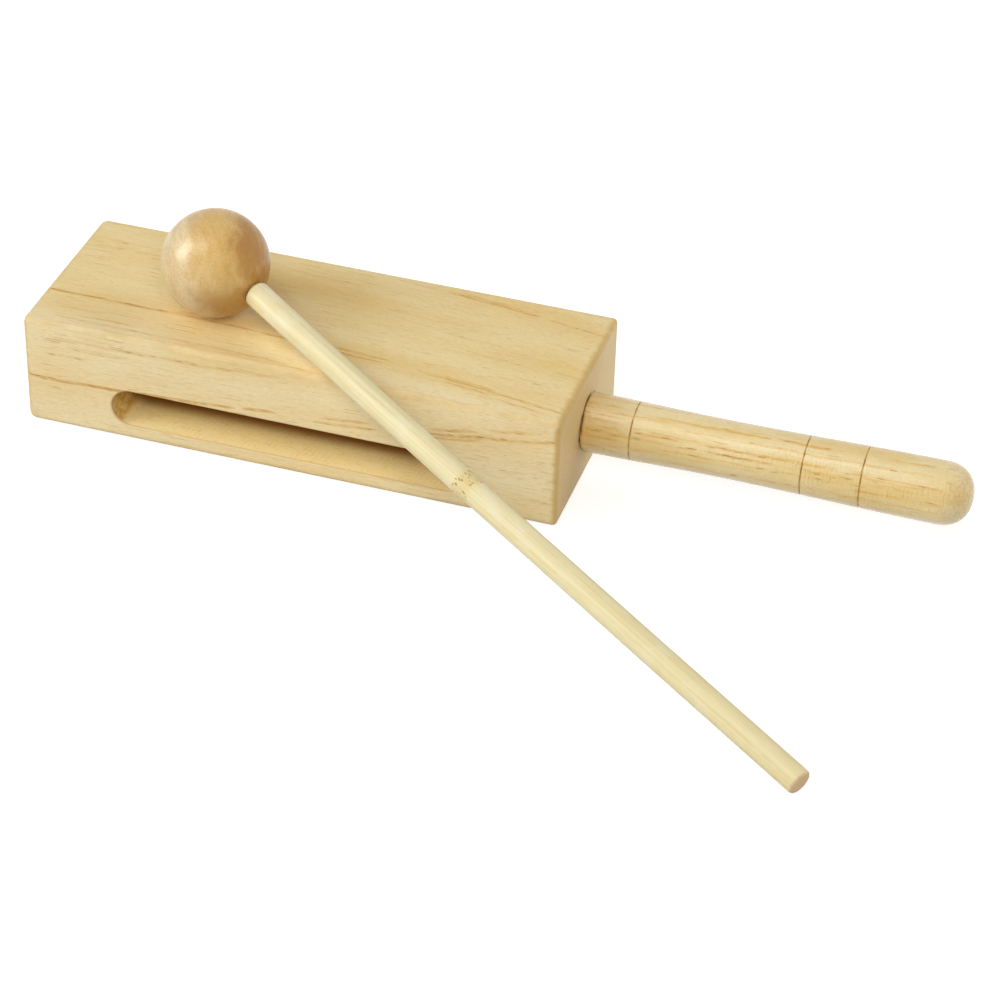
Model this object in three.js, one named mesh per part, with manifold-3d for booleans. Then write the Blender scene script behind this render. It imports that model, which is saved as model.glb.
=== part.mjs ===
// A handled wood block and its mallet, in millimetres, +Z up, standing on z = 0.
// The origin is the centre of the block's underside. +X runs along the block to the handle,
// and the resonator slot opens in the -Y side. The mallet leans across the block's front top edge.
import * as THREE from 'three';
import { LoftGeometry } from 'three/addons/geometries/LoftGeometry.js';
import { mergeVertices } from 'three/addons/utils/BufferGeometryUtils.js';
import Module from 'manifold-3d';

const wasm = await Module();
wasm.setup();

// Gaps and cutting
const SEAT_GAP = 0.3;
const GLUE_ROOM = 1;
const CUT_OVERRUN = 2;

// Block, milled from one length of wood
const BLOCK_LENGTH = 180;
const BLOCK_WIDTH = 65.5;
const BLOCK_HEIGHT = 39.2;
const LONG_EDGE_ROUND = 2;
const HANDLE_END_ROUND = 1.6;
const FREE_END_ROUND = 2.6;
const CORNER_TIP_ROUND = 0.5;

// Resonator slot, routed into the front side with one round cutter, and the wood left around it
const SLOT_HEIGHT = 13.3;
const SLOT_END_WALL = 30;
const SLOT_BACK_WALL = 17.5;
const SLOT_FLOOR_WALL = 5.2;
const SLOT_MOUTH_EASE = 0.5;
const SLOT_END_FILLET = 1.2;

// Turned handle, glued into the block's end face
const HANDLE_REACH = 124.5;
const HANDLE_NECK_RADIUS = 9.7;
const HANDLE_WAIST_RADIUS = 9.2;
const HANDLE_BUTT_RADIUS = 10.1;
const HANDLE_WAIST_REACH = 45;
const DOME_FULLNESS = 2.25;
const HANDLE_SHOULDER_ROUND = 1.1;
const HANDLE_TENON_RADIUS = 6;
const HANDLE_TENON_CHAMFER = 1;
const HANDLE_BORE_COVER = 7;
const NECK_RING_REACH = 16.2;
const BUTT_RING_SETBACKS = [53, 34.2];
const RING_WIDTH = 0.8;
const RING_DEPTH = 0.4;

// Mallet head, a turned ball
const HEAD_RADIUS = 17.5;

// Mallet stick, a bamboo dowel with a slight natural bow, let into the ball a little off its centre
const STICK_LENGTH = 244.3;
const STICK_HEAD_RADIUS = 4.25;
const STICK_RADIUS = 4.12;
const STICK_TAPER_LENGTH = 50;
const STICK_BOW = 1.7;
const STICK_BOW_LENGTH = 182;
const STICK_SHOULDER_ROUND = 1.1;
const STICK_TIP_ROUND = 1.2;
const STICK_TENON_RADIUS = 2.6;
const STICK_TENON_LENGTH = 12;
const STICK_TENON_CHAMFER = 0.6;
const BAMBOO_NODE_REACH = 103;
const BAMBOO_NODE_WIDTH = 5;
const BAMBOO_NODE_RISE = 0.09;

// Where the mallet lies: its ball on the block's top, its tip lowered to the table or to the block's edge
const HEAD_FROM_FREE_END = 57.2;
const HEAD_FROM_FRONT = 25;
const STICK_HEADING = THREE.MathUtils.degToRad(28.7);

// Sizes that follow: the slot and the tenon fill what the walls leave
const SLOT_LENGTH = BLOCK_LENGTH - 2 * SLOT_END_WALL;
const SLOT_DEPTH = BLOCK_WIDTH - SLOT_BACK_WALL;
const HANDLE_BORE_DEPTH = SLOT_END_WALL - HANDLE_BORE_COVER;
const HANDLE_TENON_LENGTH = HANDLE_BORE_DEPTH - GLUE_ROOM;
const RING_REACHES = [NECK_RING_REACH, ...BUTT_RING_SETBACKS.map((setback) => HANDLE_REACH - setback)];
const HEAD_HEIGHT = BLOCK_HEIGHT + SEAT_GAP + HEAD_RADIUS;

// Fineness of the round surfaces, in steps
const ROUND_STEPS = 6;
const SLOT_END_STEPS = 16;
const BORE_SIDES = 40;
const HANDLE_SIDES = 56;
const HANDLE_STEPS = 18;
const DOME_STEPS = 9;
const HEAD_SIDES = 52;
const HEAD_STEPS = 26;
const STICK_SIDES = 32;
const STICK_STEPS = 12;
const BAMBOO_NODE_STEPS = 6;

// Wood finishes
const FINISHES = {
  resonator_block: { color: 0xe4cf9c, roughness: 0.5, metalness: 0 },
  handle: { color: 0xe3c888, roughness: 0.32, metalness: 0 },
  mallet_stick: { color: 0xefe0b0, roughness: 0.35, metalness: 0 },
  mallet_head: { color: 0xc99c60, roughness: 0.28, metalness: 0 },
};

// Solids for cutting: a closed geometry with its shared corners merged
function solidOf(geometry) {
  const bare = new THREE.BufferGeometry();
  bare.setAttribute('position', geometry.getAttribute('position'));
  bare.setIndex(geometry.getIndex());
  const { attributes, index } = mergeVertices(bare);
  const corners = [];
  for (let i = 0; i < index.count; i += 3) {
    const triangle = [index.getX(i), index.getX(i + 1), index.getX(i + 2)];
    if (new Set(triangle).size === triangle.length) corners.push(...triangle);
  }
  return new wasm.Manifold(new wasm.Mesh({
    numProp: 3,
    vertProperties: new Float32Array(attributes.position.array),
    triVerts: new Uint32Array(corners),
  }));
}

function geometryOf(solid) {
  const { numProp, vertProperties, triVerts } = solid.getMesh();
  const geometry = new THREE.BufferGeometry();
  geometry.setAttribute('position', new THREE.BufferAttribute(vertProperties, numProp));
  geometry.setIndex(new THREE.BufferAttribute(triVerts, 1));
  geometry.computeVertexNormals();
  return geometry;
}

// Quarter-round from 0 to 1: how far along and how far out each step of a rounded edge lies
function quarterRound(steps) {
  return Array.from({ length: steps + 1 }, (_, i) => {
    const angle = (i / steps) * Math.PI / 2;
    return { along: 1 - Math.cos(angle), out: Math.sin(angle) };
  });
}

// Lathe solid along +X from points of [reach along the axis, radius]
function turned(stations, sides) {
  const profile = stations.map(([reach, radius]) => new THREE.Vector2(radius, reach));
  const geometry = new THREE.LatheGeometry(profile, sides);
  geometry.rotateZ(-Math.PI / 2);
  return geometry;
}

// Block: one cross section, a rectangle with round corners, at a place along X
function blockSection(x, inset, corner) {
  const halfWidth = BLOCK_WIDTH / 2 - inset - corner;
  const halfHeight = BLOCK_HEIGHT / 2 - inset - corner;
  const signs = [[1, 1], [-1, 1], [-1, -1], [1, -1]];
  return signs.flatMap(([ySign, zSign], quarter) => Array.from({ length: ROUND_STEPS + 1 }, (_, i) => {
    const angle = (quarter + i / ROUND_STEPS) * Math.PI / 2;
    const y = ySign * halfWidth + corner * Math.cos(angle);
    const z = BLOCK_HEIGHT / 2 + zSign * halfHeight + corner * Math.sin(angle);
    return new THREE.Vector3(x, y, z);
  }));
}

// Sections of one rounded end, from the end face inwards
function roundedEnd(side, round) {
  return quarterRound(ROUND_STEPS).map(({ along, out }) => {
    const inset = round * (1 - out);
    const corner = LONG_EDGE_ROUND - (LONG_EDGE_ROUND - CORNER_TIP_ROUND) * (1 - out);
    return blockSection(side * (BLOCK_LENGTH / 2 - round * along), inset, corner);
  });
}

function blockBody() {
  const freeEnd = roundedEnd(-1, FREE_END_ROUND);
  const handleEnd = roundedEnd(1, HANDLE_END_ROUND).reverse();
  return new LoftGeometry([...freeEnd, ...handleEnd], { capStart: true, capEnd: true });
}

// Slot: a round-ended section that grows where the mouth is eased and shrinks at the blind end
function slotSection(depth, growth) {
  const radius = SLOT_HEIGHT / 2 + growth;
  const straight = SLOT_LENGTH / 2 - SLOT_HEIGHT / 2;
  const middle = SLOT_FLOOR_WALL + SLOT_HEIGHT / 2;
  return [1, -1].flatMap((side) => Array.from({ length: SLOT_END_STEPS + 1 }, (_, i) => {
    const angle = side * Math.PI / 2 - (i / SLOT_END_STEPS) * Math.PI;
    const x = side * straight + radius * Math.cos(angle);
    return new THREE.Vector3(x, depth - BLOCK_WIDTH / 2, middle + radius * Math.sin(angle));
  }));
}

function slotCutter() {
  const outside = slotSection(-CUT_OVERRUN, SLOT_MOUTH_EASE);
  const mouth = quarterRound(ROUND_STEPS).map(({ along, out }) =>
    slotSection(SLOT_MOUTH_EASE * along, SLOT_MOUTH_EASE * (1 - out)));
  const blindEnd = quarterRound(ROUND_STEPS).map(({ along, out }) =>
    slotSection(SLOT_DEPTH - SLOT_END_FILLET * (1 - out), -SLOT_END_FILLET * along));
  return new LoftGeometry([outside, ...mouth, ...blindEnd], { capStart: true, capEnd: true });
}

// Bore for the handle's tenon, drilled into the end face
function boreCutter() {
  const radius = HANDLE_TENON_RADIUS + SEAT_GAP;
  const cutter = turned([
    [-HANDLE_BORE_DEPTH, 0],
    [-HANDLE_BORE_DEPTH, radius],
    [CUT_OVERRUN, radius],
    [CUT_OVERRUN, 0],
  ], BORE_SIDES);
  return cutter.translate(BLOCK_LENGTH / 2, 0, BLOCK_HEIGHT / 2);
}

function blockGeometry() {
  const body = solidOf(blockBody());
  return geometryOf(body.subtract(solidOf(slotCutter())).subtract(solidOf(boreCutter())));
}

// Handle: smooth swelling from the neck down to the waist and up to the butt
function handleRadius(reach) {
  const buttReach = HANDLE_REACH - HANDLE_BUTT_RADIUS;
  if (reach < HANDLE_WAIST_REACH) {
    const share = THREE.MathUtils.smoothstep(reach, 0, HANDLE_WAIST_REACH);
    return THREE.MathUtils.lerp(HANDLE_NECK_RADIUS, HANDLE_WAIST_RADIUS, share);
  }
  const share = THREE.MathUtils.smoothstep(reach, HANDLE_WAIST_REACH, buttReach);
  return THREE.MathUtils.lerp(HANDLE_WAIST_RADIUS, HANDLE_BUTT_RADIUS, share);
}

// Scored ring: a narrow V that deepens towards its middle
function ringCut(reach) {
  const cuts = RING_REACHES.map((ring) => 1 - Math.abs(reach - ring) / (RING_WIDTH / 2));
  return RING_DEPTH * Math.max(0, ...cuts);
}

function handleGeometry() {
  const shoulder = quarterRound(ROUND_STEPS).map(({ along, out }) => {
    const reach = SEAT_GAP + HANDLE_SHOULDER_ROUND * along;
    return [reach, handleRadius(reach) - HANDLE_SHOULDER_ROUND * (1 - out)];
  });
  const gripStart = SEAT_GAP + HANDLE_SHOULDER_ROUND;
  const gripEnd = HANDLE_REACH - HANDLE_BUTT_RADIUS;
  const even = Array.from({ length: HANDLE_STEPS - 1 }, (_, i) =>
    THREE.MathUtils.lerp(gripStart, gripEnd, (i + 1) / HANDLE_STEPS));
  const rings = RING_REACHES.flatMap((ring) => [ring - RING_WIDTH / 2, ring, ring + RING_WIDTH / 2]);
  const grip = [...even, ...rings].sort((a, b) => a - b)
    .map((reach) => [reach, handleRadius(reach) - ringCut(reach)]);
  const dome = quarterRound(DOME_STEPS).reverse().map(({ along, out }) => [
    gripEnd + HANDLE_BUTT_RADIUS * (1 - along) ** (2 / DOME_FULLNESS),
    HANDLE_BUTT_RADIUS * out ** (2 / DOME_FULLNESS),
  ]);
  return turned([
    [-HANDLE_TENON_LENGTH, 0],
    [-HANDLE_TENON_LENGTH, HANDLE_TENON_RADIUS - HANDLE_TENON_CHAMFER],
    [HANDLE_TENON_CHAMFER - HANDLE_TENON_LENGTH, HANDLE_TENON_RADIUS],
    [SEAT_GAP, HANDLE_TENON_RADIUS],
    ...shoulder, ...grip, ...dome,
  ], HANDLE_SIDES);
}

// Mallet head: a ball around the origin with a blind bore along +X for the stick's tenon
function headGeometry() {
  const ball = Array.from({ length: HEAD_STEPS + 1 }, (_, i) => {
    const angle = Math.PI * (1 - i / HEAD_STEPS);
    return [HEAD_RADIUS * Math.cos(angle), HEAD_RADIUS * Math.sin(angle)];
  });
  const bore = STICK_TENON_RADIUS + SEAT_GAP;
  const boreFloor = shoulderReach() - STICK_TENON_LENGTH - GLUE_ROOM;
  const cutter = turned([
    [boreFloor, 0],
    [boreFloor, bore],
    [HEAD_RADIUS + CUT_OVERRUN, bore],
    [HEAD_RADIUS + CUT_OVERRUN, 0],
  ], BORE_SIDES).translate(0, STICK_BOW, 0);
  return geometryOf(solidOf(turned(ball, HEAD_SIDES)).subtract(solidOf(cutter)));
}

// Reach of the stick's shoulder from the ball's centre, just clear of the highest part of the bore's rim
function shoulderReach() {
  const nearestRim = STICK_TENON_RADIUS + SEAT_GAP - STICK_BOW;
  return Math.sqrt(HEAD_RADIUS ** 2 - nearestRim ** 2) + SEAT_GAP;
}

// Mallet stick: radius at a distance from its shoulder, with the low swelling of the bamboo node
function stickRadius(reach) {
  const taper = THREE.MathUtils.smoothstep(reach, 0, STICK_TAPER_LENGTH);
  const swell = 1 - THREE.MathUtils.smoothstep(Math.abs(reach - BAMBOO_NODE_REACH), 0, BAMBOO_NODE_WIDTH / 2);
  return THREE.MathUtils.lerp(STICK_HEAD_RADIUS, STICK_RADIUS, taper) + BAMBOO_NODE_RISE * swell;
}

// How far the stick's axis lies to the side at a distance from its shoulder, as the bamboo bends
function stickBow(reach) {
  const share = THREE.MathUtils.clamp(1 - reach / STICK_BOW_LENGTH, 0, 1);
  return STICK_BOW * share ** 2;
}

function stickGeometry() {
  const shoulder = quarterRound(ROUND_STEPS).map(({ along, out }) =>
    [STICK_SHOULDER_ROUND * along, stickRadius(0) - STICK_SHOULDER_ROUND * (1 - out)]);
  const bend = Array.from({ length: STICK_STEPS }, (_, i) => STICK_BOW_LENGTH * (i + 1) / STICK_STEPS);
  const node = Array.from({ length: BAMBOO_NODE_STEPS + 1 }, (_, i) =>
    BAMBOO_NODE_REACH + BAMBOO_NODE_WIDTH * (i / BAMBOO_NODE_STEPS - 1 / 2));
  const shaft = [...bend, ...node].sort((a, b) => a - b).map((reach) => [reach, stickRadius(reach)]);
  const tip = quarterRound(ROUND_STEPS).reverse().map(({ along, out }) =>
    [STICK_LENGTH - STICK_TIP_ROUND * along, STICK_RADIUS - STICK_TIP_ROUND * (1 - out)]);
  const stick = turned([
    [-STICK_TENON_LENGTH, 0],
    [-STICK_TENON_LENGTH, STICK_TENON_RADIUS - STICK_TENON_CHAMFER],
    [STICK_TENON_CHAMFER - STICK_TENON_LENGTH, STICK_TENON_RADIUS],
    [0, STICK_TENON_RADIUS],
    ...shoulder, ...shaft, ...tip, [STICK_LENGTH, 0],
  ], STICK_SIDES);
  const place = stick.getAttribute('position');
  for (let i = 0; i < place.count; i += 1) place.setY(i, place.getY(i) + stickBow(place.getX(i)));
  return stick.translate(shoulderReach(), 0, 0);
}

// Slope at which the eased tip meets the table. Its lowest point comes down from the ball's
// centre by a known height: reach * sin(slope) + across * cos(slope) = drop
function slopeToTable() {
  const reach = shoulderReach() + STICK_LENGTH - STICK_TIP_ROUND;
  const across = STICK_RADIUS - STICK_TIP_ROUND;
  const drop = HEAD_HEIGHT - STICK_TIP_ROUND - SEAT_GAP;
  return Math.asin(drop / Math.hypot(reach, across)) - Math.atan2(across, reach);
}

// Slope at which the stick would meet the block's rounded front edge, found square to that edge
// and then turned to the stick's heading
function slopeToEdge() {
  const apart = LONG_EDGE_ROUND + STICK_HEAD_RADIUS + SEAT_GAP;
  const back = HEAD_FROM_FRONT - LONG_EDGE_ROUND;
  const above = HEAD_RADIUS + SEAT_GAP + LONG_EDGE_ROUND;
  const squareSlope = Math.acos(apart / Math.hypot(above, back)) - Math.atan2(back, above);
  return Math.atan(Math.tan(squareSlope) * Math.sin(STICK_HEADING));
}

// Named piece with its own finish
function piece(name, geometry) {
  const mesh = new THREE.Mesh(geometry, new THREE.MeshStandardMaterial(FINISHES[name]));
  mesh.name = name;
  return mesh;
}

function handledBlock() {
  const handle = piece('handle', handleGeometry());
  handle.position.set(BLOCK_LENGTH / 2, 0, BLOCK_HEIGHT / 2);
  return new THREE.Group().add(piece('resonator_block', blockGeometry()), handle);
}

function mallet() {
  const stick = piece('mallet_stick', stickGeometry());
  const head = piece('mallet_head', headGeometry());
  const group = new THREE.Group().add(stick, head);
  group.position.set(HEAD_FROM_FREE_END - BLOCK_LENGTH / 2, HEAD_FROM_FRONT - BLOCK_WIDTH / 2, HEAD_HEIGHT);
  group.rotation.set(0, Math.min(slopeToTable(), slopeToEdge()), -STICK_HEADING, 'ZYX');
  return group;
}

export default new THREE.Group().add(handledBlock(), mallet());
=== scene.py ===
# %% [markdown]
# # A handled wood block and its mallet
# A wood block is a thick stick of hardwood with a deep slot routed into one side. The lip over the
# slot rings when the ball of the mallet taps it, and the turned handle keeps the hand off the wood.
# This lesson takes an exact construction model of one and gives it finer meshes and wood that is
# made by shader nodes alone. Lengths are in millimetres, and MM turns them into Blender's metres.

# %% Open the construction model
import math
from contextlib import contextmanager

import bmesh
import bpy
from mathutils import Matrix, Vector


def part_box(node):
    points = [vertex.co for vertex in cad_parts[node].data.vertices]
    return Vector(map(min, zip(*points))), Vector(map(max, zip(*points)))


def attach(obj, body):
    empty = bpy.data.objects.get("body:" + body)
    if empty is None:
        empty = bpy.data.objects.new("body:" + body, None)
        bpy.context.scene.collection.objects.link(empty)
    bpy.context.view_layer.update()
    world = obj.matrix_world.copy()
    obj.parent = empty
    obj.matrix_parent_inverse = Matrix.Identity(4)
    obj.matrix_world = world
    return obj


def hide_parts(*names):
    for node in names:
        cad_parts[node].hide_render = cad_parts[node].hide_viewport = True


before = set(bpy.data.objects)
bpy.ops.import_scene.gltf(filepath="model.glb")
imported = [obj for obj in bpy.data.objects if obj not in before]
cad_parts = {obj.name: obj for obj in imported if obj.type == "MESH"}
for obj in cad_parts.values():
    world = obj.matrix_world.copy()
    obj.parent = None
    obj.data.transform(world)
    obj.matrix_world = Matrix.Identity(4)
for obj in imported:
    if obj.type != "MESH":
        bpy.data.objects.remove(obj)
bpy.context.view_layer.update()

MM = 0.001

# %% [markdown]
# ## The camera
# A long lens from a metre away keeps the block's edges almost parallel. The camera is placed by
# what it looks at, its azimuth and its elevation, as a photographer would note it, and a slight
# roll is added last.

# %% Place the camera
CAMERA_AIM = Vector((69.04, -24.21, 0)) * MM
CAMERA_AZIMUTH = math.radians(16.698)
CAMERA_ELEVATION = math.radians(35.895)
CAMERA_ROLL = math.radians(1.781)
CAMERA_DISTANCE = 1037.8 * MM
CAMERA_LENS = 117.78


def towards(azimuth, elevation):
    """Direction from the object to something at an azimuth and an elevation"""
    level = math.cos(elevation)
    return Vector((math.sin(azimuth) * level, -math.cos(azimuth) * level, math.sin(elevation)))


bpy.ops.object.select_all(action="DESELECT")
sight = towards(CAMERA_AZIMUTH, CAMERA_ELEVATION)
bpy.ops.object.camera_add(location=CAMERA_AIM + sight * CAMERA_DISTANCE)
camera = bpy.context.object
camera.rotation_mode = "QUATERNION"
camera.rotation_quaternion = (
    sight.to_track_quat("Z", "Y") @ Matrix.Rotation(CAMERA_ROLL, 3, "Z").to_quaternion()
)
camera.data.lens = CAMERA_LENS
bpy.context.scene.camera = camera
print("Camera at", [round(value / MM, 1) for value in camera.location], "mm")

# %% [markdown]
# ## A small workbench of helpers
# Blender's operators act on whatever is selected, so each step starts by selecting one object
# alone. In edit mode, parts of a mesh are chosen by where their corners lie.

# %% Helpers for modelling


def only(piece):
    """Select one object alone and make it the active one"""
    bpy.ops.object.select_all(action="DESELECT")
    piece.select_set(True)
    bpy.context.view_layer.objects.active = piece


def named(name):
    """Name the newest object and its mesh"""
    piece = bpy.context.object
    piece.name = name
    piece.data.name = name
    return piece


@contextmanager
def editing(piece):
    """Edit mode on one object alone, for as long as the block of code under it lasts"""
    only(piece)
    bpy.ops.object.mode_set(mode="EDIT")
    yield
    bpy.ops.object.mode_set(mode="OBJECT")


def pick(piece, kind, test):
    """In edit mode, select just the corners (VERT) or edges (EDGE) that pass a test, and count them"""
    bpy.ops.mesh.select_mode(type=kind)
    bpy.ops.mesh.select_all(action="DESELECT")
    mesh = bmesh.from_edit_mesh(piece.data)
    parts = mesh.verts if kind == "VERT" else mesh.edges
    for part in parts:
        corners = [part] if kind == "VERT" else part.verts
        part.select_set(test([corner.co for corner in corners]))
    mesh.select_flush_mode()
    bmesh.update_edit_mesh(piece.data)
    return sum(part.select for part in parts)


def settle(piece):
    """Put the object's place, turn and size into its mesh"""
    only(piece)
    bpy.ops.object.transform_apply(location=True, rotation=True, scale=True)


def use(piece, kind, **settings):
    """Add one modifier with its settings and apply it"""
    modifier = piece.modifiers.new(kind, kind)
    for name, value in settings.items():
        setattr(modifier, name, value)
    only(piece)
    bpy.ops.object.modifier_apply(modifier=modifier.name)


def carve(piece, tool):
    """Cut a piece with another solid, which is then thrown away"""
    use(piece, "BOOLEAN", operation="DIFFERENCE", solver="EXACT", object=tool)
    bpy.data.objects.remove(tool)


def smooth(piece, angle=math.radians(35)):
    """Smooth shading with crisp corners, and flat faces that stay flat beside a rounded edge"""
    only(piece)
    bpy.ops.object.shade_smooth_by_angle(angle=angle)
    use(piece, "WEIGHTED_NORMAL", keep_sharp=True)


def report(piece):
    """Print how big a finished piece is"""
    size = [round(side / MM, 2) for side in piece.dimensions]
    print(piece.name, "measures", size, "mm with", len(piece.data.polygons), "faces")


# %% [markdown]
# ## The block
# The real block is sawn and planed square, its edges are eased on a sander, and a router with a
# round cutter makes the slot. It could be one extruded outline, but a cube is closer to how the
# wood is worked: it takes the size of the blank, gets a bevel weight on each run of edges, and one
# Bevel modifier then rounds them all together, so that the corners meet cleanly.

# %% Square the blank and ease its edges
LONG_EDGE_ROUND = 2
HANDLE_END_ROUND = 1.6
FREE_END_ROUND = 2.6
EDGE_SEGMENTS = 8

block_low, block_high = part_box("resonator_block")
block_size = block_high - block_low
block_middle = (block_low + block_high) / 2
bpy.ops.mesh.primitive_cube_add(size=1, location=block_middle, scale=block_size)
block = named("block_body")
settle(block)

edge_runs = [
    (LONG_EDGE_ROUND, lambda ends: ends[0].x != ends[1].x),
    (FREE_END_ROUND, lambda ends: max(end.x for end in ends) < block_middle.x),
    (HANDLE_END_ROUND, lambda ends: min(end.x for end in ends) > block_middle.x),
]
with editing(block):
    for edge_round, chosen in edge_runs:
        print("Edges eased by", edge_round, "mm:", pick(block, "EDGE", chosen))
        bpy.ops.transform.edge_bevelweight(value=edge_round / FREE_END_ROUND)
use(block, "BEVEL", width=FREE_END_ROUND * MM, segments=EDGE_SEGMENTS, limit_method="WEIGHT")
report(block)

# %% [markdown]
# ## The resonator slot
# A router cutter leaves round ends and a small fillet where its own corners are worn. Its path is
# modelled as the solid that it sweeps: a cylinder as wide as the cutter, pulled apart into two
# halves, with its far rim bevelled. The solid is then taken out of the block, and the sharp mouth
# that this leaves is broken with a narrow bevel, as a strip of sandpaper would do it.

# %% Sweep the cutter's path and cut it out
SLOT_HEIGHT = 13.3
SLOT_END_WALL = 30
SLOT_BACK_WALL = 17.5
SLOT_FLOOR_WALL = 5.2
SLOT_END_FILLET = 1.2
FILLET_SEGMENTS = 6
SLOT_SIDES = 96
CUT_OVERRUN = 2


def cutter(name, radius, length, middle, turn, sides=64):
    """A cylinder to cut with, which stands along Z until it is turned"""
    bpy.ops.mesh.primitive_cylinder_add(
        vertices=sides, radius=radius, depth=length, location=middle, rotation=turn)
    tool = named(name)
    settle(tool)
    return tool


def round_edges(piece, chosen, width, segments):
    """Round the edges whose ends pass a test, and print how many there are"""
    with editing(piece):
        print(f"{piece.name}: {pick(piece, 'EDGE', chosen)} edges rounded by {width} mm")
        bpy.ops.mesh.bevel(offset=width * MM, segments=segments, affect="EDGES")


slot_depth = block_size.y - SLOT_BACK_WALL * MM
slot_reach = slot_depth + CUT_OVERRUN * MM
slot_half_run = block_size.x / 2 - (SLOT_END_WALL + SLOT_HEIGHT / 2) * MM
slot_centre = Vector((
    block_middle.x,
    block_low.y - CUT_OVERRUN * MM + slot_reach / 2,
    block_low.z + (SLOT_FLOOR_WALL + SLOT_HEIGHT / 2) * MM,
))
across_block = (math.pi / 2, math.pi / SLOT_SIDES, 0)
slot_path = cutter("slot_path", SLOT_HEIGHT / 2 * MM, slot_reach, slot_centre, across_block, SLOT_SIDES)
with editing(slot_path):
    for side in (-1, 1):
        pick(slot_path, "VERT", lambda ends: (ends[0].x - slot_centre.x) * side > 0)
        bpy.ops.transform.translate(value=(side * slot_half_run, 0, 0))
blind_end = block_low.y + slot_depth
rim_start = blind_end - SLOT_END_FILLET * MM / 2
round_edges(slot_path, lambda ends: min(end.y for end in ends) > rim_start,
            SLOT_END_FILLET, FILLET_SEGMENTS)
carve(block, slot_path)
report(block)

# %% Break the slot's sharp mouth
SLOT_MOUTH_EASE = 0.5
MOUTH_SEGMENTS = 4


def on_mouth(ends):
    """Whether an edge lies in the front face, along the slot's outline"""
    for end in ends:
        past_run = max(abs(end.x - slot_centre.x) - slot_half_run, 0)
        off_outline = math.hypot(past_run, end.z - slot_centre.z) - SLOT_HEIGHT / 2 * MM
        if abs(end.y - block_low.y) > MM / 100 or abs(off_outline) > MM / 10:
            return False
    return True


round_edges(block, on_mouth, SLOT_MOUTH_EASE, MOUTH_SEGMENTS)

# %% [markdown]
# ## The bore for the handle
# The handle's tenon is glued into a hole in the end grain. It hides behind the shoulder, but the
# block is a real solid, so the hole is drilled all the same.

# %% Drill the end face
HANDLE_BORE_RADIUS = 6.3
HANDLE_BORE_DEPTH = 23
ALONG_BLOCK = (0, math.pi / 2, 0)

bore_reach = (HANDLE_BORE_DEPTH + CUT_OVERRUN) * MM
bore_place = Vector((block_high.x + CUT_OVERRUN * MM - bore_reach / 2, block_middle.y, block_middle.z))
carve(block, cutter("drill", HANDLE_BORE_RADIUS * MM, bore_reach, bore_place, ALONG_BLOCK))
smooth(block)
report(block)

# %% [markdown]
# ## Turned pieces
# The handle and the stick are turned, and the quickest way to a turned shape is the lathe's own:
# draw half of the outline and spin it. The outline starts as one vertex, which is extruded from
# point to point, and the Spin operator sweeps it round the X axis. Spin can leave the surface
# inside out, so doubles are merged first and the normals are recalculated after that.

# %% A lathe made of two operators, and the corners of its outlines
CORNER_STEPS = 8


def turned(name, outline, sides):
    """Spin an outline of (reach, radius) points in millimetres round the X axis"""
    bpy.ops.object.select_all(action="DESELECT")
    bpy.ops.mesh.primitive_plane_add(size=MM)
    piece = named(name)
    points = [Vector((reach, 0, radius)) * MM for reach, radius in outline]
    with editing(piece):
        bpy.ops.mesh.select_mode(type="VERT")
        bpy.ops.mesh.merge(type="CENTER")
        bpy.ops.transform.translate(value=points[0])
        for here, there in zip(points, points[1:]):
            bpy.ops.mesh.extrude_region_move(TRANSFORM_OT_translate={"value": there - here})
        bpy.ops.mesh.select_all(action="SELECT")
        bpy.ops.mesh.spin(steps=sides, angle=math.tau, center=(0, 0, 0), axis=(1, 0, 0))
        bpy.ops.mesh.select_all(action="SELECT")
        bpy.ops.mesh.remove_doubles(threshold=MM / 1000)
        bpy.ops.mesh.normals_make_consistent(inside=False)
    return piece


def rise(value, low, high):
    """0 up to low, 1 from high on, and a smooth rise between them"""
    share = min(max((value - low) / (high - low), 0), 1)
    return share * share * (3 - 2 * share)


def quarter_round(steps):
    """How far along and how far out each step of a rounded corner lies, from 0 to 1"""
    turns = [step / steps * math.pi / 2 for step in range(steps + 1)]
    return [(1 - math.cos(turn), math.sin(turn)) for turn in turns]


def round_corner(reach, radius, size, way=1):
    """Outline of an eased corner, which climbs from a flat end, or comes down to one if way is -1"""
    steps = quarter_round(CORNER_STEPS)[::way]
    return [(reach + way * size * along, radius - size * (1 - out)) for along, out in steps]


def round_tenon(length, radius, chamfer, seat=0):
    """Outline of a chamfered tenon, from the middle of its end to the shoulder where it stops"""
    return [(-length, 0), (-length, radius - chamfer), (chamfer - length, radius), (seat, radius)]


# %% [markdown]
# ## The handle
# It swells from a waist towards the butt, so that it doesn't slip from the hand, and three rings
# are burnt in with a wire held against the spinning wood. The outline is a formula of a few real
# sizes, and each ring is a groove with a soft cosine section.

# %% Turn the handle
HANDLE_SEAT = 0.1
HANDLE_NECK_RADIUS = 9.7
HANDLE_WAIST_RADIUS = 9.2
HANDLE_WAIST_REACH = 45
HANDLE_SHOULDER_ROUND = 1.1
HANDLE_TENON_RADIUS = 6
HANDLE_TENON_CHAMFER = 1
DOME_FULLNESS = 2.25
RING_REACHES = [16.2, 71.5, 90.3]
RING_WIDTH = 0.7
RING_DEPTH = 0.3
DOME_STEPS = 24
HANDLE_SIDES = 112

handle_low, handle_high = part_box("handle")
handle_foot = Vector((block_high.x, block_middle.y, block_middle.z))
handle_reach = (handle_high.x - handle_foot.x) / MM
tenon_length = (handle_foot.x - handle_low.x) / MM
butt_radius = (handle_high.z - handle_low.z) / 2 / MM
grip_end = handle_reach - butt_radius


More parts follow.
